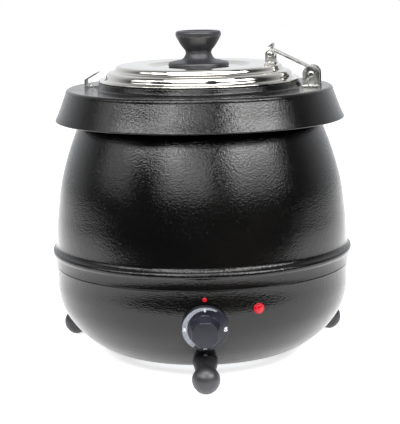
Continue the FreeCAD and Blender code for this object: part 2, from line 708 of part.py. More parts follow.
def hinge_arm():
    """Flat strap from the hinge pin to the lid's plates, curled round both pins, with a hooked tab."""
    knuckle_r, eye_r, strap = 6.4, 5.0, 2.2
    dx, dz = LID_PIN_R - HINGE_R, LID_PIN_Z - HINGE_Z
    run = math.hypot(dx, dz)
    angle = math.degrees(math.atan2(dz, dx))
    bar = box((run, ARM_WIDTH, strap), (0, -ARM_WIDTH / 2, -knuckle_r))
    bar.rotate(ORIGIN, Y, -angle)
    bar.translate(V(HINGE_R, 0, HINGE_Z))
    arm = bar.fuse(cylinder(knuckle_r, ARM_WIDTH, V(HINGE_R, -ARM_WIDTH / 2, HINGE_Z), Y))
    arm = arm.fuse(cylinder(eye_r, ARM_WIDTH, V(LID_PIN_R, -ARM_WIDTH / 2, LID_PIN_Z), Y))
    tab_width = ARM_WIDTH - 6
    tab = box((3.0, tab_width, 9.0), (-1.0, -tab_width / 2, 3.0))
    hook = box((5.6, tab_width, 1.6), (-5.6, -tab_width / 2, -1.6))
    hook.rotate(ORIGIN, Y, -42)
    hook.translate(V(0.4, 0, 12.0))
    tab = tab.fuse(hook)
    tab.rotate(ORIGIN, Y, 10)
    tab.translate(V(LID_PIN_R, 0, LID_PIN_Z))
    arm = arm.fuse(tab)
    arm = arm.cut(cylinder(PIN_R + RUNNING, 60, V(HINGE_R, -30, HINGE_Z), Y))
    arm = arm.cut(cylinder(PIN_R + 0.02, 60, V(LID_PIN_R, -30, LID_PIN_Z), Y))
    return turned(arm.removeSplitter(), HINGE_ANGLE)


def rivets(places, low, high):
    """Rivets along Z with a domed head at each end."""
    group = []
    for x, y in places:
        body = cylinder(1.5, high - low, V(x, y, low))
        head = lathe([(0, 0)], [(2.8, 0)], [(2.3, 0.9), (1.0, 1.3)], [(0, 1.3)])
        body = body.fuse(aimed(head, V(x, y, high), Z)).fuse(aimed(head, V(x, y, low), -Z))
        group.append(turned(body, HINGE_ANGLE))
    return group


# ---- rim clip opposite the hinge --------------------------------------------------------
def rim_clip():
    """Small steel clip on the collar: a riveted foot, an upright and a blade that leans over the lid's edge."""
    width, gauge, back = 14.0, 1.2, 130.6
    foot_plate = box((back - 119.0, width, gauge), (119.0, -width / 2, COLLAR_TOP_Z))
    upright = box((gauge, width, 8.0), (back - gauge, -width / 2, COLLAR_TOP_Z))
    blade = box((17.0, width, gauge), (-17.0, -width / 2, -gauge))
    blade.rotate(ORIGIN, Y, 30)
    blade.translate(V(back, 0, COLLAR_TOP_Z + 8.4))
    clip = foot_plate.fuse(upright).fuse(blade)
    clip = clip.cut(cylinder(RIVET_HOLE_R, 4, V(CLIP_RIVET_R, 0, COLLAR_TOP_Z - 1.4)))
    return turned(clip.removeSplitter(), HINGE_ANGLE + 180)


def clip_rivet():
    rivet = rivets([(CLIP_RIVET_R, 0)], COLLAR_TOP_Z - COLLAR_SHEET, COLLAR_TOP_Z + 1.2)[0]
    return turned(rivet, 180)


# ---- write every piece -----------------------------------------------------------------
def main():
    save("upper_shell", upper_shell().cut(Part.makeCompound(seam_holes())))
    save("lower_bowl", lower_bowl())
    save("base_plate", base_plate())
    base_screw = aimed(pan_head_screw(2.0, 8, 4.0, 2.2), V(BASE_SCREW_R, 0, BOWL_FLOOR_Z - SHEET), -Z)
    save("base_screws", *[turned(base_screw, a) for a in BASE_SCREW_ANGLES])
    seam_screw = aimed(pan_head_screw(2.0, 8, 3.6, 1.8), SEAM_SCREW_SEAT + SEAM_OUT * 0.1, SEAM_OUT)
    save("seam_screws", *[turned(seam_screw, a) for a in SEAM_SCREW_ANGLES])
    for name, angle in FOOT_ANGLES.items():
        save("foot_" + name, turned(foot(), angle))
    save("foot_screws", *[turned(foot_screw(), a) for a in FOOT_ANGLES.values()])
    hinge_holes = [turned(cylinder(RIVET_HOLE_R, 12, V(x, y, COLLAR_TOP_Z - 5)), HINGE_ANGLE)
                   for x, y in base_rivet_places()]
    clip_hole = cylinder(RIVET_HOLE_R, 4, V(CLIP_RIVET_R, 0, COLLAR_TOP_Z - 3))
    hinge_holes.append(turned(clip_hole, HINGE_ANGLE + 180))
    save("collar", collar().cut(Part.makeCompound(hinge_holes)))
    save("collar_guide", collar_guide())
    save("water_pan", water_pan())
    save("inner_pot", inner_pot())
    save("heating_element", heating_element())
    save("element_plate", element_plate())
    save("element_studs", *element_studs())
    save("element_nuts", *element_nuts())
    save("cutout_switch", cutout_switch())
    save("sensor_bulb", sensor_bulb())
    save("sensor_clip", sensor_clip())
    save("capillary", capillary())
    save("thermostat_body", thermostat_body())
    save("thermostat_shaft", thermostat_shaft())
    save("thermostat_screws", *thermostat_screws())
    save("thermostat_spacers", *thermostat_spacers())
    save("control_knob", control_knob())
    save("pilot_lens", pilot_lens())
    save("lamp_body", lamp_body())
    save("lamp_nut", lamp_nut())
    save("pointer_dot", pointer_dot())
    save("cable_gland", cable_gland())
    save("gland_nut", gland_nut())
    save("terminal_block", terminal_block())
    save("earth_stud", earth_stud())
    save("lead_wires", *lead_wires())
    save("lid", lid())
    save("lid_knob", lid_knob())
    save("lid_knob_screw", lid_knob_screw())
    save("lid_knob_washer", lid_knob_washer())
    save("hinge_base_plate_front", base_cheek(-1))
    save("hinge_base_plate_rear", base_cheek(1))
    save("hinge_lid_plate_front", lid_cheek(-1))
    save("hinge_lid_plate_rear", lid_cheek(1))
    save("hinge_pin", hinge_pin())
    save("hinge_lid_pin", hinge_lid_pin())
    save("hinge_arm", hinge_arm())
    save("hinge_base_rivets", *rivets(base_rivet_places(), COLLAR_TOP_Z - COLLAR_SHEET, COLLAR_TOP_Z + CHEEK))
    save("hinge_lid_rivets", *rivets(lid_rivet_places(), LID_STEP_Z - LID_SHEET, LID_STEP_Z + CHEEK))
    save("rim_clip", rim_clip())
    save("clip_rivet", clip_rivet())


main()
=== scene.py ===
import json
import math

import bmesh
import bpy
from mathutils import Matrix, Vector


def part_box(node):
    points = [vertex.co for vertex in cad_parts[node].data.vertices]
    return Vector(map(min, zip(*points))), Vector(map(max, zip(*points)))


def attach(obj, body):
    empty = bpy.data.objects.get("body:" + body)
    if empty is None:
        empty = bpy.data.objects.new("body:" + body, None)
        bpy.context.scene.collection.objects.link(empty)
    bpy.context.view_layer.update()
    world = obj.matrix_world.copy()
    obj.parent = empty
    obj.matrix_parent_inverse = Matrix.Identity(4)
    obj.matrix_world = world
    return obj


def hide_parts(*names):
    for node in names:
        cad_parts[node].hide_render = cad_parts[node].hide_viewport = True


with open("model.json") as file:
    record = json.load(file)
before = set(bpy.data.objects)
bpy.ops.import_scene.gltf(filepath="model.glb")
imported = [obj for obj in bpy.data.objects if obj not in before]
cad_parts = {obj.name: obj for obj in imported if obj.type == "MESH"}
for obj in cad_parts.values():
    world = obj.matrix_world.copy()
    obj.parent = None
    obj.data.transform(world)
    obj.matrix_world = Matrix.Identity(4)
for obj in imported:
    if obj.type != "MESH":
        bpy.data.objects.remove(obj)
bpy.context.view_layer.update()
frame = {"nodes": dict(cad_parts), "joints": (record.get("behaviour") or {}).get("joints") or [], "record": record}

MM = 0.001                      # outlines are in millimetres, Blender is in metres
TURNS = 240                     # segments round a turned piece
RECORD = frame["record"]
BODY_OF = {node: body for body, nodes in RECORD["behaviour"]["bodies"].items() for node in nodes}
SLOT_OF = {row["node"]: row["material_slot"] for row in RECORD["subparts"]}
JOINT = {joint["name"]: joint for joint in frame["joints"]}

Z_AXIS = Vector((0, 0, 1))


# ---- camera ------------------------------------------------------------------------------
CAMERA_PLACE = Vector((-0.0148, -1.7002, 0.4623))
CAMERA_HEADING = 0.44           # degrees from +Y towards +X
CAMERA_PITCH = 10.04            # degrees below level
CAMERA_ROLL = 1.09
CAMERA_LENS = 128.5
SENSOR = 36.0                   # the long side, in mm


def make_camera():
    """Camera at the photograph's viewing angle."""
    heading, pitch, roll = (math.radians(a) for a in (CAMERA_HEADING, CAMERA_PITCH, CAMERA_ROLL))
    forward = Vector((math.sin(heading) * math.cos(pitch),
                      math.cos(heading) * math.cos(pitch),
                      -math.sin(pitch)))
    level = Vector((math.cos(heading), -math.sin(heading), 0))
    above = level.cross(forward)
    right = level * math.cos(roll) - above * math.sin(roll)
    up = level * math.sin(roll) + above * math.cos(roll)
    data = bpy.data.cameras.new("camera")
    data.lens = CAMERA_LENS
    data.sensor_width = SENSOR
    data.clip_start, data.clip_end = 0.05, 50.0
    camera = bpy.data.objects.new("camera", data)
    camera.matrix_world = Matrix((
        (right.x, up.x, -forward.x, CAMERA_PLACE.x),
        (right.y, up.y, -forward.y, CAMERA_PLACE.y),
        (right.z, up.z, -forward.z, CAMERA_PLACE.z),
        (0, 0, 0, 1)))
    bpy.context.scene.collection.objects.link(camera)
    bpy.context.scene.camera = camera


# ---- light and floor -----------------------------------------------------------------------
PANEL_AIM = Vector((0, 0, 0.2))
# name, azimuth, distance, height, width, tall, radiance
PANELS = (
    ("panel_left", -76, 2.2, 1.30, 1.3, 1.2, 2.2),
    ("panel_middle", -13, 2.4, 1.55, 1.9, 1.2, 4.4),
    ("panel_right", 48, 2.3, 1.50, 2.1, 1.2, 4.8),
    ("panel_high_left", -44, 2.15, 1.80, 2.3, 0.45, 11.0),
    ("panel_high_right", 48, 2.10, 1.76, 1.9, 0.45, 13.0),
    ("panel_top", 0, 0.95, 2.2, 2.4, 1.1, 8.0),
)
ROOM_TINT = (0.95, 0.97, 1.0, 1)
ROOM_FRONT, ROOM_BACK = -0.10, 0.85     # where the room starts and stops brightening, front to back
ROOM_DIM, ROOM_BRIGHT = 0.045, 1.0
FLOOR_SIDE, FLOOR_FRONT = 7.0, -0.36
FLOOR_GLOW = 0.64


def soft_panel(name, azimuth, distance, height, width, tall, radiance):
    """Rectangular soft light facing the kettle. Azimuth 0 is the front and 90 the right side."""
    data = bpy.data.lights.new(name, "AREA")
    data.shape = "RECTANGLE"
    data.size, data.size_y = width, tall
    data.energy = radiance * math.pi * width * tall
    lamp = bpy.data.objects.new(name, data)
    angle = math.radians(azimuth)
    place = Vector((math.sin(angle) * distance, -math.cos(angle) * distance, height))
    lamp.matrix_world = (Matrix.Translation(place)
                         @ (PANEL_AIM - place).to_track_quat("-Z", "Y").to_matrix().to_4x4())
    bpy.context.scene.collection.objects.link(lamp)


def make_world():
    """Pale studio: bright behind and overhead, dim in front, plain white as the backdrop."""
    world = bpy.data.worlds.new("studio")
    bpy.context.scene.world = world
    world.use_nodes = True
    tree = world.node_tree
    nodes, link = tree.nodes, tree.links.new
    backdrop = nodes["Background"]
    backdrop.inputs["Color"].default_value = (1, 1, 1, 1)
    backdrop.inputs["Strength"].default_value = 1.0
    studio = nodes.new("ShaderNodeBackground")
    studio.inputs["Color"].default_value = ROOM_TINT
    coords = nodes.new("ShaderNodeTexCoord")
    split = nodes.new("ShaderNodeSeparateXYZ")
    link(coords.outputs["Generated"], split.inputs[0])
    depth = nodes.new("ShaderNodeMapRange")
    depth.interpolation_type = "SMOOTHSTEP"
    depth.inputs["From Min"].default_value = ROOM_FRONT
    depth.inputs["From Max"].default_value = ROOM_BACK
    depth.inputs["To Min"].default_value = ROOM_DIM
    depth.inputs["To Max"].default_value = ROOM_BRIGHT
    link(split.outputs["Y"], depth.inputs["Value"])
    link(depth.outputs["Result"], studio.inputs["Strength"])
    path = nodes.new("ShaderNodeLightPath")
    choose = nodes.new("ShaderNodeMixShader")
    link(path.outputs["Is Camera Ray"], choose.inputs["Fac"])
    link(studio.outputs[0], choose.inputs[1])
    link(backdrop.outputs[0], choose.inputs[2])
    link(choose.outputs[0], nodes["World Output"].inputs["Surface"])


def make_stage():
    """Room, light panels and a pale floor that glows a little, so that it meets the backdrop."""
    make_world()
    for panel in PANELS:
        soft_panel(*panel)
    corners = [(-FLOOR_SIDE, FLOOR_FRONT, 0), (FLOOR_SIDE, FLOOR_FRONT, 0),
               (FLOOR_SIDE, FLOOR_SIDE, 0), (-FLOOR_SIDE, FLOOR_SIDE, 0)]
    data = bpy.data.meshes.new("floor")
    data.from_pydata(corners, [], [(0, 1, 2, 3)])
    floor = bpy.data.objects.new("floor", data)
    bpy.context.scene.collection.objects.link(floor)
    paper = Finish("floor_paper", (0.90, 0.90, 0.90), 0.6)
    paper.shader.inputs["Emission Color"].default_value = (1, 1, 1, 1)
    paper.shader.inputs["Emission Strength"].default_value = FLOOR_GLOW
    paper.vary_roughness(3.0, 0.55, 0.7)
    data.materials.append(paper.material)


# ---- materials -----------------------------------------------------------------------------
NOISE_LOW, NOISE_HIGH = 0.3, 0.7        # the part of a noise's range that is spread out


class Finish:
    """A Principled material, with short calls for the node patterns that the pieces need."""

    def __init__(self, name, colour, roughness, metallic=0.0):
        self.material = bpy.data.materials.new(name)
        self.material.use_nodes = True
        self.nodes = self.material.node_tree.nodes
        self.link = self.material.node_tree.links.new
        self.shader = self.nodes["Principled BSDF"]
        self.shader.inputs["Base Color"].default_value = (*colour, 1)
        self.shader.inputs["Roughness"].default_value = roughness
        self.shader.inputs["Metallic"].default_value = metallic
        self.coords = self.nodes.new("ShaderNodeTexCoord").outputs["Object"]
        self.normal = None

    def stretched(self, x, y, z):
        """Object coordinates scaled along each axis."""
        mapping = self.nodes.new("ShaderNodeMapping")
        mapping.inputs["Scale"].default_value = (x, y, z)
        self.link(self.coords, mapping.inputs["Vector"])
        return mapping.outputs["Vector"]

    def radius(self):
        """Distance from the kettle's axis, as a vector that has only X."""
        flat = self.stretched(1, 1, 0)
        length = self.nodes.new("ShaderNodeVectorMath")
        length.operation = "LENGTH"
        self.link(flat, length.inputs[0])
        join = self.nodes.new("ShaderNodeCombineXYZ")
        self.link(length.outputs["Value"], join.inputs["X"])
        return join.outputs[0]

    def noise(self, scale, detail, vector=None):
        node = self.nodes.new("ShaderNodeTexNoise")
        node.inputs["Scale"].default_value = scale
        node.inputs["Detail"].default_value = detail
        self.link(vector or self.coords, node.inputs["Vector"])
        return node.outputs["Fac"]

    def cells(self, scale):
        node = self.nodes.new("ShaderNodeTexVoronoi")
        node.inputs["Scale"].default_value = scale
        self.link(self.coords, node.inputs["Vector"])
        return node.outputs["Distance"]

    def spread(self, value, low, high):
        """Stretches a noise over the range from low to high."""
        node = self.nodes.new("ShaderNodeMapRange")
        node.inputs["From Min"].default_value = NOISE_LOW
        node.inputs["From Max"].default_value = NOISE_HIGH
        node.inputs["To Min"].default_value = low
        node.inputs["To Max"].default_value = high
        self.link(value, node.inputs["Value"])
        return node.outputs["Result"]

    def vary_roughness(self, scale, low, high, vector=None):
        value = self.spread(self.noise(scale, 3.0, vector), low, high)
        self.link(value, self.shader.inputs["Roughness"])

    def vary_colour(self, scale, first, second, start=0.35, end=0.65):
        ramp = self.nodes.new("ShaderNodeValToRGB")
        ramp.color_ramp.elements[0].position = start
        ramp.color_ramp.elements[1].position = end
        ramp.color_ramp.elements[0].color = (*first, 1)
        ramp.color_ramp.elements[1].color = (*second, 1)
        self.link(self.noise(scale, 4.0), ramp.inputs["Fac"])
        self.link(ramp.outputs["Color"], self.shader.inputs["Base Color"])

    def bump(self, height, depth, strength=1.0):
        """Adds relief of the given depth in metres."""
        node = self.nodes.new("ShaderNodeBump")
        node.inputs["Strength"].default_value = strength
        node.inputs["Distance"].default_value = depth
        self.link(height, node.inputs["Height"])
        if self.normal is not None:
            self.link(self.normal, node.inputs["Normal"])
        self.normal = node.outputs["Normal"]
        self.link(self.normal, self.shader.inputs["Normal"])


def black_coat():
    """Black powder coat with the orange-peel skin that breaks its reflections into grains."""
    finish = Finish("black_coat", (0.0025, 0.0024, 0.0023), 0.14)
    finish.shader.inputs["Specular IOR Level"].default_value = 0.32
    finish.vary_colour(7.0, (0.0015, 0.0015, 0.0016), (0.0032, 0.0029, 0.0026))
    finish.vary_roughness(30.0, 0.11, 0.17)
    finish.bump(finish.noise(70.0, 1.0), 0.0001, 0.5)
    finish.bump(finish.noise(580.0, 1.0), 0.00027, 1.0)
    finish.bump(finish.cells(950.0), 0.00006, 0.6)
    return finish.material


def black_plastic():
    """Moulded black plastic of the lid knob, feet and gland."""
    finish = Finish("black_plastic", (0.013, 0.013, 0.015), 0.4)
    finish.vary_colour(60.0, (0.010, 0.010, 0.012), (0.018, 0.018, 0.021))
    finish.vary_roughness(45.0, 0.34, 0.48)
    finish.bump(finish.noise(1500.0, 2.0), 0.00003, 0.6)
    return finish.material


def knob_plastic():
    """Blue-black plastic of the thermostat knob."""
    finish = Finish("knob_plastic", (0.006, 0.007, 0.012), 0.36)
    finish.shader.inputs["Specular IOR Level"].default_value = 0.32
    finish.vary_colour(80.0, (0.005, 0.006, 0.010), (0.008, 0.009, 0.016))
    finish.vary_roughness(60.0, 0.30, 0.44)
    finish.bump(finish.noise(1800.0, 2.0), 0.00003, 0.6)
    return finish.material


def steel(name, colour, low, high, ring_depth, tumble_depth, turned=True):
    """Stainless steel with rings of polishing or brushing round the axis, or a tumbled skin."""
    finish = Finish(name, colour, (low + high) / 2, 1.0)
    darker = tuple(c * 0.86 for c in colour)
    finish.vary_colour(14.0, darker, colour)
    if turned:
        rings = finish.radius()
        finish.vary_roughness(900.0, low, high, rings)
        finish.bump(finish.noise(2600.0, 2.0, rings), ring_depth)
    else:
        finish.vary_roughness(120.0, low, high)
    finish.bump(finish.noise(420.0, 3.0), tumble_depth, 0.6)
    return finish.material


def metal(name, colour, low, high):
    """Plain plated or cast metal, mottled a little."""
    finish = Finish(name, colour, low, 1.0)
    finish.vary_colour(90.0, tuple(c * 0.75 for c in colour), colour)
    finish.vary_roughness(160.0, low, high)
    finish.bump(finish.noise(900.0, 3.0), 0.00002, 0.6)
    return finish.material


def element_sheath():
    """Heat-tinted sheath, blotched from straw to grey."""
    finish = Finish("element_sheath", (0.2, 0.17, 0.14), 0.4, 1.0)
    finish.vary_colour(45.0, (0.12, 0.10, 0.10), (0.34, 0.26, 0.17))
    finish.vary_roughness(70.0, 0.35, 0.6)
    finish.bump(finish.noise(700.0, 3.0), 0.00003, 0.6)
    return finish.material


def white_plastic():
    """Off-white insulating plastic of the inner electrical parts."""
    finish = Finish("white_plastic", (0.78, 0.77, 0.72), 0.45)
    finish.vary_colour(50.0, (0.70, 0.69, 0.63), (0.80, 0.79, 0.75))
    finish.vary_roughness(80.0, 0.38, 0.55)
    finish.bump(finish.noise(1300.0, 2.0), 0.00003, 0.6)
    return finish.material


def wire_sleeve():
    """Braided glass sleeve of the inner wires."""
    finish = Finish("wire_sleeve", (0.62, 0.61, 0.56), 0.7)
    finish.vary_colour(300.0, (0.5, 0.49, 0.45), (0.72, 0.71, 0.66))
    finish.vary_roughness(200.0, 0.6, 0.85)
    finish.bump(finish.cells(1800.0), 0.0001, 0.8)
    return finish.material


def red_lens():
    """Deep red plastic."""
    finish = Finish("red_lens", (0.30, 0.002, 0.008), 0.22)
    finish.shader.inputs["Specular IOR Level"].default_value = 0.35
    finish.vary_colour(260.0, (0.22, 0.001, 0.005), (0.40, 0.004, 0.012))
    finish.vary_roughness(200.0, 0.18, 0.28)
    return finish.material


def print_ink():
    """Pale print on the dial, slightly worn."""
    finish = Finish("print_ink", (0.62, 0.63, 0.66), 0.5)
    finish.vary_colour(1400.0, (0.40, 0.41, 0.45), (0.75, 0.76, 0.78))
    finish.vary_roughness(500.0, 0.4, 0.6)
    return finish.material


def scale_ink():
    """Light grey hatched band of the dial."""
    finish = Finish("scale_ink", (0.16, 0.165, 0.19), 0.5)
    finish.vary_colour(1900.0, (0.06, 0.065, 0.08), (0.26, 0.27, 0.31), 0.42, 0.58)
    finish.vary_roughness(500.0, 0.4, 0.6)
    return finish.material


MATERIALS = {
    "black_coat": black_coat(),
    "black_plastic": black_plastic(),
    "knob_plastic": knob_plastic(),
    "zinc_steel": metal("zinc_steel", (0.55, 0.56, 0.58), 0.28, 0.42),
    "brushed_stainless": steel("brushed_stainless", (0.62, 0.61, 0.59), 0.22, 0.34,
                               ring_depth=0.00003, tumble_depth=0.00001),
    "polished_steel": steel("polished_steel", (0.62, 0.60, 0.56), 0.06, 0.13,
                            ring_depth=0.000004, tumble_depth=0.000006),
    "hinge_steel": steel("hinge_steel", (0.46, 0.46, 0.435), 0.20, 0.34,
                         ring_depth=0, tumble_depth=0.00003, turned=False),
    "element_sheath": element_sheath(),
    "aluminium_plate": metal("aluminium_plate", (0.70, 0.71, 0.72), 0.3, 0.45),
    "copper": metal("copper", (0.72, 0.36, 0.22), 0.25, 0.4),
    "brass_stud": metal("brass_stud", (0.75, 0.58, 0.28), 0.22, 0.36),
    "white_plastic": white_plastic(),
    "wire_sleeve": wire_sleeve(),
    "red_lens": red_lens(),
    "print_ink": print_ink(),
    "scale_ink": scale_ink(),
}


# ---- mesh tools ----------------------------------------------------------------------------
ARC_STEP = math.radians(9)
CURVE_STEPS = 8                 # pieces of a smooth curve between two of its points
MITRE = 0.6                     # the least cosine, so that a sheet's sharp corner stays short
SHARP = math.radians(38)        # edges sharper than this stay hard
COPY_SHARP = math.radians(40)
COPY_HARD = math.radians(30)    # CAD edges sharper than this are rounded
COPY_FLAT = math.radians(0.6)   # CAD faces flatter than this are joined


def arc_points(a, b, c):
    """Points on the arc from a through b to c, without a."""
    ax, ay, bx, by, cx, cy = *a, *b, *c
    d = 2 * (ax * (by - cy) + bx * (cy - ay) + cx * (ay - by))
    if abs(d) < 1e-9:
        return [b, c]
    sa, sb, sc = ax * ax + ay * ay, bx * bx + by * by, cx * cx + cy * cy
    ux = (sa * (by - cy) + sb * (cy - ay) + sc * (ay - by)) / d
    uy = (sa * (cx - bx) + sb * (ax - cx) + sc * (bx - ax)) / d
    radius = math.hypot(ax - ux, ay - uy)
    start, middle, end = (math.atan2(p[1] - uy, p[0] - ux) for p in (a, b, c))
    first = math.remainder(middle - start, 2 * math.pi)
    sweep = first + math.remainder(end - middle, 2 * math.pi)
    count = max(4, int(abs(sweep) / ARC_STEP) + 1)
    angles = [start + sweep * i / count for i in range(1, count + 1)]
    return [(ux + radius * math.cos(t), uy + radius * math.sin(t)) for t in angles]


def curve_points(start, points):
    """Smooth curve through the points, without the start."""
    chain = [start] + list(points)
    chain = [tuple(2 * a - b for a, b in zip(chain[0], chain[1]))] + chain
    chain.append(tuple(2 * a - b for a, b in zip(chain[-1], chain[-2])))
    result = []
    for p0, p1, p2, p3 in zip(chain, chain[1:], chain[2:], chain[3:]):
        for i in range(1, CURVE_STEPS + 1):
            t = i / CURVE_STEPS
            result.append(tuple(
                0.5 * (2 * b + (c - a) * t + (2 * a - 5 * b + 4 * c - d) * t * t
                       + (3 * b - a - 3 * c + d) * t ** 3)
                for a, b, c, d in zip(p0, p1, p2, p3)))
    return result


def outline(*steps):
    """Points of a path: [end] adds a line, [middle, end] an arc, and more points a smooth curve."""
    points = [steps[0][0]]
    for step in steps[1:]:
        if len(step) == 1:
            points.append(step[0])
        elif len(step) == 2:
            points += arc_points(points[-1], *step)
        else:
            points += curve_points(points[-1], step)
    return points


def with_thickness(points, thickness):
    """Closed outline of a sheet whose metal lies on the path's right-hand side."""
    moved = []
    for i, (x, y) in enumerate(points):
        before, after = points[max(i - 1, 0)], points[min(i + 1, len(points) - 1)]
        forward = Vector((after[0] - x, after[1] - y))
        back = Vector((x - before[0], y - before[1])) if i else forward
        ahead = forward if i < len(points) - 1 else back
        along = back.normalized() + ahead.normalized()
        along.normalize()
        reach = thickness / max(along.dot(ahead.normalized()), MITRE)
        moved.append((max(x + along.y * reach, 0.0), y - along.x * reach))
    return points + moved[::-1]


def add_object(name, data):
    piece = bpy.data.objects.new(name, data)
    bpy.context.scene.collection.objects.link(piece)
    return piece


def lathe_mesh(name, points, turns=TURNS):
    """Closed solid of revolution about Z from a closed outline of (radius, height)."""
    angles = [2 * math.pi * k / turns for k in range(turns)]
    verts, rings = [], []
    for r, z in points:
        if r < 1e-6:
            rings.append([len(verts)])
            verts.append((0, 0, z * MM))
        else:
            rings.append(list(range(len(verts), len(verts) + turns)))
            verts += [(r * MM * math.cos(t), r * MM * math.sin(t), z * MM) for t in angles]
    faces = []
    for a, b in zip(rings, rings[1:] + rings[:1]):
        for k in range(turns):
            n = (k + 1) % turns
            if len(a) == 1 and len(b) == 1:
                break
            if len(a) == 1:
                faces.append((a[0], b[n], b[k]))
            elif len(b) == 1:
                faces.append((a[k], a[n], b[0]))
            else:
                faces.append((a[k], a[n], b[n], b[k]))
    data = bpy.data.meshes.new(name)
    data.from_pydata(verts, [], faces)
    tidy_mesh(data)
    return data


def smooth(data, sharp):
    """Smooth shading, with the edges sharper than the given angle left hard."""
    data.shade_smooth()
    data.set_sharp_from_angle(angle=sharp)


def tidy_mesh(data):
    """Merges doubled points, turns the faces outward and smooths all but the sharp edges."""
    work = bmesh.new()
    work.from_mesh(data)
    bmesh.ops.remove_doubles(work, verts=work.verts, dist=1e-7)
    bmesh.ops.recalc_face_normals(work, faces=work.faces)
    work.to_mesh(data)
    work.free()
    smooth(data, SHARP)


def finish_piece(piece, body, slot, *nodes, material=None):
    """Gives a piece its material (the slot's, unless another is named), puts it under its body and hides the CAD
    nodes that it stands for.
    """
    piece.data.materials.clear()
    piece.data.materials.append(MATERIALS[material or slot])
    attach(piece, body)
    if nodes:
        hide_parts(*nodes)


def turned_piece(name, node, points):
    """A lathe piece that stands for one CAD node."""
    finish_piece(add_object(name, lathe_mesh(name, points)), BODY_OF[node], SLOT_OF[node], node)


def merge(name, meshes):
    """One mesh from several."""
    work = bmesh.new()
    for data in meshes:
        work.from_mesh(data)
    data = bpy.data.meshes.new(name)
    work.to_mesh(data)
    work.free()
    return data


def fine_copy(node, width):
    """Copy of a CAD node with every hard edge rounded. It stands for the node."""
    data = frame["nodes"][node].data.copy()
    work = bmesh.new()
    work.from_mesh(data)
    bmesh.ops.remove_doubles(work, verts=work.verts, dist=2e-6)
    bmesh.ops.dissolve_limit(work, angle_limit=COPY_FLAT, verts=work.verts, edges=work.edges)
    edges = [e for e in work.edges if len(e.link_faces) == 2 and e.calc_face_angle(0) > COPY_HARD]
    bmesh.ops.bevel(work, geom=edges, offset=width, segments=3, profile=0.5, affect="EDGES",
                    clamp_overlap=True)
    work.to_mesh(data)
    work.free()
    smooth(data, COPY_SHARP)
    finish_piece(add_object("fine_" + node, data), BODY_OF[node], SLOT_OF[node], node)


# ---- casings -------------------------------------------------------------------------------
SHELL_LOW, SHELL_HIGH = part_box("upper_shell")
BOWL_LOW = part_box("lower_bowl")[0]
COLLAR_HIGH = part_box("collar")[1]
BEAD_R = SHELL_HIGH.x / MM
SEAM_Z = SHELL_LOW.z / MM
SHELL_TOP = SHELL_HIGH.z / MM
CASING_SHEET, COLLAR_SHEET, LID_SHEET = 1.2, 1.4, 0.9
POT_SHEET, PAN_SHEET = 0.9, 1.0
BEAD_Z = SEAM_Z + 15.6
SEAM_R = BEAD_R - 4.0
BOWL_FLOOR = BOWL_LOW.z / MM
BOWL_TOP = (165.4, 97.0)
BOWL_CURVE = [(165.0, 80.0), (160.8, 61.5), (151.7, 45.0), (138.5, 30.0), (118.8, 15.6),
              (103.0, 9.6), (92.0, BOWL_FLOOR)]


def make_shell():
    """Barrel with the rolled bead at its foot."""
    path = outline(
        [(SEAM_R - 0.5, SEAM_Z)],
        [(SEAM_R - 0.1, SEAM_Z + 0.1), (SEAM_R, SEAM_Z + 0.6)],
        [(SEAM_R + 2.0, SEAM_Z + 11.0)],
        [(SEAM_R + 2.6, SEAM_Z + 12.6), (BEAD_R - 0.6, BEAD_Z - 2.0)],
        [(BEAD_R, BEAD_Z), (BEAD_R - 1.4, BEAD_Z + 3.4)],
        [(BEAD_R - 4.0, BEAD_Z + 5.4), (BEAD_R - 5.3, BEAD_Z + 8.9)],
        [(BEAD_R - 5.7, 149.0), (162.8, 166.0), (158.0, 200.0), (148.6, 234.0), (135.4, 268.0),
         (128.4, 281.0)],
        [(126.2, 286.4), (121.5, SHELL_TOP)],
        [(116.0, SHELL_TOP)],
    )
    turned_piece("barrel_shell", "upper_shell", with_thickness(path, -CASING_SHEET))


def make_bowl():
    """Lower casing from the joggle inside the shell's foot to the bottom flange."""
    path = outline(
        [(SEAM_R - 1.6, SEAM_Z + 9.0)],
        [(SEAM_R - 1.6, SEAM_Z - 0.1)],
        [(SEAM_R - 0.6, SEAM_Z - 0.5), (SEAM_R - 0.4, SEAM_Z - 1.6)],
        [BOWL_TOP],
        BOWL_CURVE,
        [(80.0, BOWL_FLOOR)],
    )
    turned_piece("bowl_casing", "lower_bowl", with_thickness(path, CASING_SHEET))


def make_collar():
    """Flared collar with a crisp edge, soft shoulder and raised ring round the mouth."""
    top = COLLAR_HIGH.z / MM
    deck = top - 7.4
    edge = COLLAR_HIGH.x / MM
    path = outline(
        [(edge - 1.6, 270.0)],
        [(edge - 0.3, 270.0), (edge, 271.0)],
        [(157.8, 281.0), (152.8, 294.0), (150.3, 300.6)],
        [(149.2, 303.7), (145.5, deck)],
        [(117.8, deck)],
        [(115.5, deck + 0.9), (114.7, deck + 2.6)],
        [(113.6, top - 2.0)],
        [(113.0, top - 0.6), (111.6, top)],
        [(106.3, top)],
        [(104.9, top - 0.6), (104.5, top - 2.0)],
        [(104.5, top - 6.0)],
    )
    turned_piece("collar_ring", "collar", with_thickness(path, -COLLAR_SHEET))


# ---- lid -----------------------------------------------------------------------------------
LID_LOW, LID_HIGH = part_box("lid")


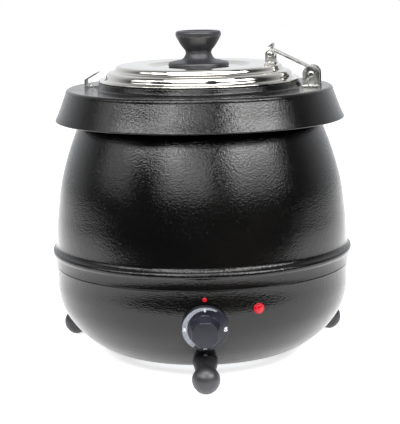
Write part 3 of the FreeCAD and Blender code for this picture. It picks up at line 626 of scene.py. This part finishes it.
def make_lid():
    """Polished lid with a dished centre, a raised step, a flat edge and a lip inside the ring."""
    step = LID_HIGH.z / MM
    centre = step - 2.6
    seat = step - 15.6
    rim = COLLAR_HIGH.z / MM + 0.1
    edge = LID_HIGH.x / MM
    lip_r = 103.1
    path = outline(
        [(0, centre)],
        [(51.0, centre)],
        [(53.7, centre + 0.35), (56.2, centre + 1.4)],
        [(58.5, step - 0.3), (61.0, step)],
        [(89.5, step)],
        [(92.0, step - 0.8), (93.6, step - 2.8)],
        [(95.0, step - 5.1), (97.6, step - 6.1)],
        [(100.0, step - 6.8)],
        [(103.6, step - 8.8), (105.0, step - 12.4)],
        [(106.0, step - 14.7), (108.2, seat)],
        [(edge - 1.3, seat)],
        [(edge - 0.1, seat - 0.8), (edge - 0.9, rim)],
        [(edge - 2.2, rim)],
    )
    turned_piece("lid_dome", "lid", with_thickness(path, LID_SHEET))
    low = LID_LOW.z / MM
    lip = outline([(lip_r - 1.0, low + 0.3)], [(lip_r - 0.5, low), (lip_r, low + 0.3)],
                  [(lip_r, step - 9.4)], [(lip_r - 1.0, step - 9.0)])
    finish_piece(add_object("lid_lip", lathe_mesh("lid_lip", lip)), "lid", "polished_steel")


def make_lid_handle():
    """Moulded knob: flange, waist and a flared cup with a dished top."""
    low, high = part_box("lid_knob")
    base, top = low.z / MM, high.z / MM
    points = outline(
        [(2.1, base)],
        [(32.6, base)],
        [(33.9, base + 0.9), (34.0, base + 2.0)],
        [(33.6, base + 4.0), (31.6, base + 5.3)],
        [(24.0, base + 7.0)],
        [(18.4, base + 8.4), (15.6, base + 12.0)],
        [(14.5, base + 15.4), (15.4, base + 18.6)],
        [(20.6, base + 25.4), (24.0, base + 31.6)],
        [(25.4, base + 34.6), (25.4, top - 2.8)],
        [(24.6, top - 0.7), (22.6, top)],
        [(21.0, top - 0.3), (19.4, top - 1.2)],
        [(9.0, top - 2.4), (0, top - 2.6)],
        [(0, base + 18.0)],
        [(2.1, base + 18.0)],
    )
    turned_piece("lid_handle", "lid_knob", points)


# ---- pots ----------------------------------------------------------------------------------
def make_pot():
    """Soup pot with a rolled rim."""
    low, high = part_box("inner_pot")
    rim_r, floor, top = high.x / MM, low.z / MM, high.z / MM
    wall = 109.0
    seat = top - 2.4
    path = outline(
        [(0, floor)],
        [(wall - 14, floor)],
        [(wall - 4.1, floor + 4.1), (wall, floor + 14)],
        [(wall, seat - 0.8)],
        [(wall + 0.3, seat - 0.2), (wall + 1.0, seat)],
        [(rim_r - 1.4, seat)],
        [(rim_r, seat + 1.2), (rim_r - 1.4, top)],
        [(rim_r - 2.4, top - 0.5)],
    )
    turned_piece("soup_pot", "inner_pot", with_thickness(path, -POT_SHEET))


def make_pan():
    """Water well hung by its flange."""
    low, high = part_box("water_pan")
    flange, floor, top = high.x / MM, low.z / MM, high.z / MM
    wall = 115.2
    path = outline(
        [(0, floor)],
        [(wall - 8, floor)],
        [(wall - 2.3, floor + 2.3), (wall, floor + 8)],
        [(wall, top - 1.4)],
        [(wall + 0.1, top - 1.1), (wall + 0.4, top - 1.0)],
        [(flange, top - 1.0)],
    )
    turned_piece("water_well", "water_pan", with_thickness(path, -PAN_SHEET))


# ---- feet ----------------------------------------------------------------------------------
FOOT_R, FOOT_Z, FOOT_REACH = 15.0, 14.6, 176.0
LEG_START = Vector((118.0, 0, 21.0))
LEG_ROOT_R, LEG_NECK_R = 14.6, 9.8
NECK_TO_BALL = 12.4
FOOT_TURNS, CUTTER_TURNS = 96, 160
CUTTER_TOP = 110.0


def make_foot(node, angle):
    """Tapered leg that swells into a ball, cut to the bowl's face, with a small flat under it."""
    ball = Vector((FOOT_REACH, 0, FOOT_Z))
    reach = (ball - LEG_START).length
    neck = reach - NECK_TO_BALL
    points = outline(
        [(0, -LEG_ROOT_R)],
        [(LEG_ROOT_R * 0.71, -LEG_ROOT_R * 0.71), (LEG_ROOT_R, 0)],
        [(LEG_NECK_R, neck - 4.0)],
        [(LEG_NECK_R - 0.3, neck - 1.6), (LEG_NECK_R + 0.4, neck + 1.2)],
        [(FOOT_R * 0.97, reach - 2.0), (FOOT_R, reach + 0.5)],
        [(FOOT_R * 0.72, reach + FOOT_R * 0.70), (0, reach + FOOT_R)],
    )
    data = lathe_mesh(node, points, FOOT_TURNS)
    rotation = (ball - LEG_START).to_track_quat("Z", "Y").to_matrix().to_4x4()
    turn = Matrix.Rotation(math.radians(angle), 4, "Z")
    data.transform(turn @ Matrix.Translation(LEG_START * MM) @ rotation)
    piece = add_object(node + "_ball", data)
    block = outline([(0, CUTTER_TOP)], [(BOWL_TOP[0], CUTTER_TOP)], [BOWL_TOP], BOWL_CURVE,
                    [(0, BOWL_FLOOR)])
    cutter = add_object("cutter", lathe_mesh("cutter", block, CUTTER_TURNS))
    cut = piece.modifiers.new("cut", "BOOLEAN")
    cut.object = cutter
    cut.operation = "DIFFERENCE"
    cut.solver = "EXACT"
    graph = bpy.context.evaluated_depsgraph_get()
    result = bpy.data.meshes.new_from_object(piece.evaluated_get(graph))
    piece.modifiers.clear()
    piece.data = result
    bpy.data.objects.remove(cutter)
    work = bmesh.new()
    work.from_mesh(result)
    whole = work.verts[:] + work.edges[:] + work.faces[:]
    cut_away = bmesh.ops.bisect_plane(work, geom=whole, plane_co=(0, 0, 0), plane_no=(0, 0, -1),
                                      clear_outer=True)
    rim = [e for e in cut_away["geom_cut"] if isinstance(e, bmesh.types.BMEdge)]
    bmesh.ops.edgeloop_fill(work, edges=rim)
    work.to_mesh(result)
    work.free()
    tidy_mesh(result)
    finish_piece(piece, "base", SLOT_OF[node], node)


# ---- thermostat knob -----------------------------------------------------------------------
DIAL_ORIGIN = Vector(JOINT["thermostat_turn"]["pos_m"])
DIAL_OUT = -Vector(JOINT["thermostat_turn"]["axis"])
DIAL_UP = (Z_AXIS - DIAL_OUT * Z_AXIS.dot(DIAL_OUT)).normalized()
DIAL_ACROSS = DIAL_UP.cross(DIAL_OUT)
DIAL_FRAME = Matrix((
    (DIAL_ACROSS.x, DIAL_UP.x, DIAL_OUT.x, DIAL_ORIGIN.x),
    (DIAL_ACROSS.y, DIAL_UP.y, DIAL_OUT.y, DIAL_ORIGIN.y),
    (DIAL_ACROSS.z, DIAL_UP.z, DIAL_OUT.z, DIAL_ORIGIN.z),
    (0, 0, 0, 1)))
DIAL_R = 25.0
DIAL_TURNS = 160
CONE = ((24.2, 5.6), (17.6, 7.9))       # the dial's slope: radius and height, outer and inner
GRIP_SIDES = 8
GRIP_LEVELS = ((7.0, 17.4), (22.6, 15.7), (24.0, 14.6))     # height and corner radius
GRIP_HARD = math.radians(15)
BAND_START, BAND_END, BAND_STEPS = 58.0, 238.0, 72
BAND_THIN, BAND_GROWTH = 1.5, 4.0
FIGURE_R = 21.2
FIGURES = (("0", 90, 4.2), ("30", 180, 4.2), ("60", 270, 4.2), ("90", 0, 5.2))  # text, angle, size


def cone_height(radius):
    """Height of the dial's slope at a radius."""
    (r1, h1), (r2, h2) = CONE
    return h1 + (h2 - h1) * (radius - r1) / (r2 - r1)


def grip_mesh():
    """Eight-sided tapered grip with rounded edges."""
    sides = GRIP_SIDES
    corners = [2 * math.pi * (k + 0.5) / sides for k in range(sides)]
    verts = [(r * MM * math.cos(a), r * MM * math.sin(a), h * MM)
             for h, r in GRIP_LEVELS for a in corners]
    faces = [tuple(range(sides - 1, -1, -1)), tuple(range(2 * sides, 3 * sides))]
    for low in (0, sides):
        for k in range(sides):
            n = (k + 1) % sides
            faces.append((low + k, low + n, low + sides + n, low + sides + k))
    data = bpy.data.meshes.new("grip")
    data.from_pydata(verts, [], faces)
    work = bmesh.new()
    work.from_mesh(data)
    hard = [e for e in work.edges if e.calc_face_angle(0) > GRIP_HARD]
    bmesh.ops.bevel(work, geom=hard, offset=0.7 * MM, segments=4, profile=0.5, affect="EDGES",
                    clamp_overlap=True)
    work.to_mesh(data)
    work.free()
    tidy_mesh(data)
    return data


def make_knob():
    """Dial skirt, hollow behind, with the faceted grip."""
    skirt = lathe_mesh("skirt", outline(
        [(6.0, 0.5)], [(6.0, 4.0)], [(DIAL_R - 2.0, 4.0)], [(DIAL_R - 2.0, 0.4)],
        [(DIAL_R - 1.6, 0.0), (DIAL_R - 0.4, 0.0)], [(DIAL_R, 0.4)], [(DIAL_R, 4.4)],
        [(DIAL_R - 0.2, 5.2), CONE[0]], [CONE[1]], [(16.6, 8.3), (16.0, 9.0)],
        [(3.02, 9.0)], [(3.02, 0.5)],
    ), DIAL_TURNS)
    data = merge("dial_knob", [skirt, grip_mesh()])
    smooth(data, SHARP)
    data.transform(DIAL_FRAME)
    finish_piece(add_object("dial_knob", data), "knob", "knob_plastic", "control_knob")


def band_mesh():
    """Printed band of the dial: it widens from the one o'clock end to the seven o'clock end."""
    lift = 0.05
    outer = CONE[0][0] - 0.1
    verts, faces = [], []
    for i in range(BAND_STEPS + 1):
        share = i / BAND_STEPS
        angle = math.radians(BAND_START + (BAND_END - BAND_START) * share)
        wide = BAND_THIN + BAND_GROWTH * min(1.0, share * 1.5)
        for radius in (outer, outer - wide):
            verts.append((radius * math.cos(angle), radius * math.sin(angle),
                          cone_height(radius) + lift))
        if i:
            k = 2 * i
            faces.append((k - 2, k - 1, k + 1, k))
    data = bpy.data.meshes.new("dial_band")
    data.from_pydata(verts, [], faces)
    data.transform(Matrix.Scale(MM, 4))
    return data


def figure_mesh(text, angle, size):
    """Raised number on the dial's slope, its top turned outward."""
    curve = bpy.data.curves.new(text, "FONT")
    curve.body = text
    curve.size = size * MM
    curve.align_x = "CENTER"
    curve.align_y = "CENTER"
    curve.extrude = 0.05 * MM
    curve.offset = 0.12 * MM
    holder = add_object("figure", curve)
    graph = bpy.context.evaluated_depsgraph_get()
    data = bpy.data.meshes.new_from_object(holder.evaluated_get(graph))
    bpy.data.objects.remove(holder)
    slope = math.atan2(CONE[1][1] - CONE[0][1], CONE[0][0] - CONE[1][0])
    data.transform(Matrix.Rotation(math.radians(angle - 90), 4, "Z")
                   @ Matrix.Translation((0, FIGURE_R * MM, (cone_height(FIGURE_R) + 0.12) * MM))
                   @ Matrix.Rotation(-slope, 4, "X"))
    return data


def make_dial_print():
    """Scale band and generic numbers."""
    band = band_mesh()
    band.transform(DIAL_FRAME)
    finish_piece(add_object("dial_band", band), "knob", "knob_plastic", material="scale_ink")
    data = merge("dial_figures", [figure_mesh(*figure) for figure in FIGURES])
    data.transform(DIAL_FRAME)
    finish_piece(add_object("dial_figures", data), "knob", "knob_plastic", material="print_ink")


# ---- pilot lamp and pointer ----------------------------------------------------------------
LAMP_ANGLE, LAMP_TILT = math.radians(-70.0), math.radians(3.0)
LAMP_WALL_R = 165.3             # radius of the bowl's face behind the lens
LAMP_R, LAMP_TURNS = 5.95, 96
POINTER_R, POINTER_TURNS = 2.45, 64


def make_lamp():
    """Domed red lens with a rim and fine rings inside its edge."""
    low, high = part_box("pilot_lens")
    angle, tilt, radius = LAMP_ANGLE, LAMP_TILT, LAMP_R
    out = Vector((math.cos(tilt) * math.cos(angle), math.cos(tilt) * math.sin(angle), -math.sin(tilt)))
    place = Vector((LAMP_WALL_R * math.cos(angle), LAMP_WALL_R * math.sin(angle),
                    (low.z + high.z) / 2 / MM + 0.1)) * MM
    points = outline(
        [(0, 0.35)], [(radius - 0.3, 0.35)],
        [(radius, 0.5), (radius, 0.9)],
        [(radius - 0.1, 1.5), (radius - 0.6, 1.7)],
        [(radius - 1.1, 1.6)],
        [(radius - 1.3, 2.8), (radius - 2.4, 3.4)],
        [(radius - 4.2, 3.75), (0, 3.8)],
    )
    data = lathe_mesh("lamp_lens", points, LAMP_TURNS)
    data.transform(Matrix.Translation(place) @ out.to_track_quat("Z", "Y").to_matrix().to_4x4())
    finish_piece(add_object("lamp_lens", data), "base", "red_lens", "pilot_lens")


def make_pointer():
    """Small red stud over the dial."""
    low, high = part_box("pointer_dot")
    head = POINTER_R
    points = outline([(0, -4.0)], [(1.5, -4.0)], [(1.5, 0)], [(head, 0)],
                     [(head - 0.1, 0.6), (head - 1.2, 1.0)], [(0.6, 1.1), (0, 1.1)])
    data = lathe_mesh("pointer_stud", points, POINTER_TURNS)
    place = Vector((0, low.y + 1.1 * MM, (low.z + high.z) / 2))
    data.transform(Matrix.Translation(place) @ Matrix.Rotation(math.radians(90), 4, "X"))
    finish_piece(add_object("pointer_stud", data), "base", "red_lens", "pointer_dot")


# ---- everything ----------------------------------------------------------------------------
FOOT_ANGLES = {"foot_front": -90, "foot_right": 30, "foot_left": 150}
ROUNDING = {                    # how wide the rounded edges are, in mm
    "hinge_base_plate_front": 0.35, "hinge_base_plate_rear": 0.35,
    "hinge_lid_plate_front": 0.35, "hinge_lid_plate_rear": 0.35,
    "hinge_pin": 0.2, "hinge_lid_pin": 0.2, "hinge_base_rivets": 0.2, "hinge_lid_rivets": 0.2,
    "clip_rivet": 0.2, "hinge_arm": 0.35, "rim_clip": 0.25, "cable_gland": 0.5,
}


def paint_cad_nodes():
    """Material for every CAD node that stays as it is."""
    for name, node in frame["nodes"].items():
        node.data.materials.clear()
        node.data.materials.append(MATERIALS[SLOT_OF[name]])


make_camera()
make_stage()
paint_cad_nodes()
make_shell()
make_bowl()
make_collar()
make_lid()
make_lid_handle()
make_pot()
make_pan()
for foot_node, foot_angle in FOOT_ANGLES.items():
    make_foot(foot_node, foot_angle)
make_knob()
make_dial_print()
make_lamp()
make_pointer()
for fine_node, fine_width in ROUNDING.items():
    fine_copy(fine_node, fine_width * MM)

bpy.context.scene.view_settings.view_transform = "Standard"
bpy.context.scene.view_settings.look = "None"
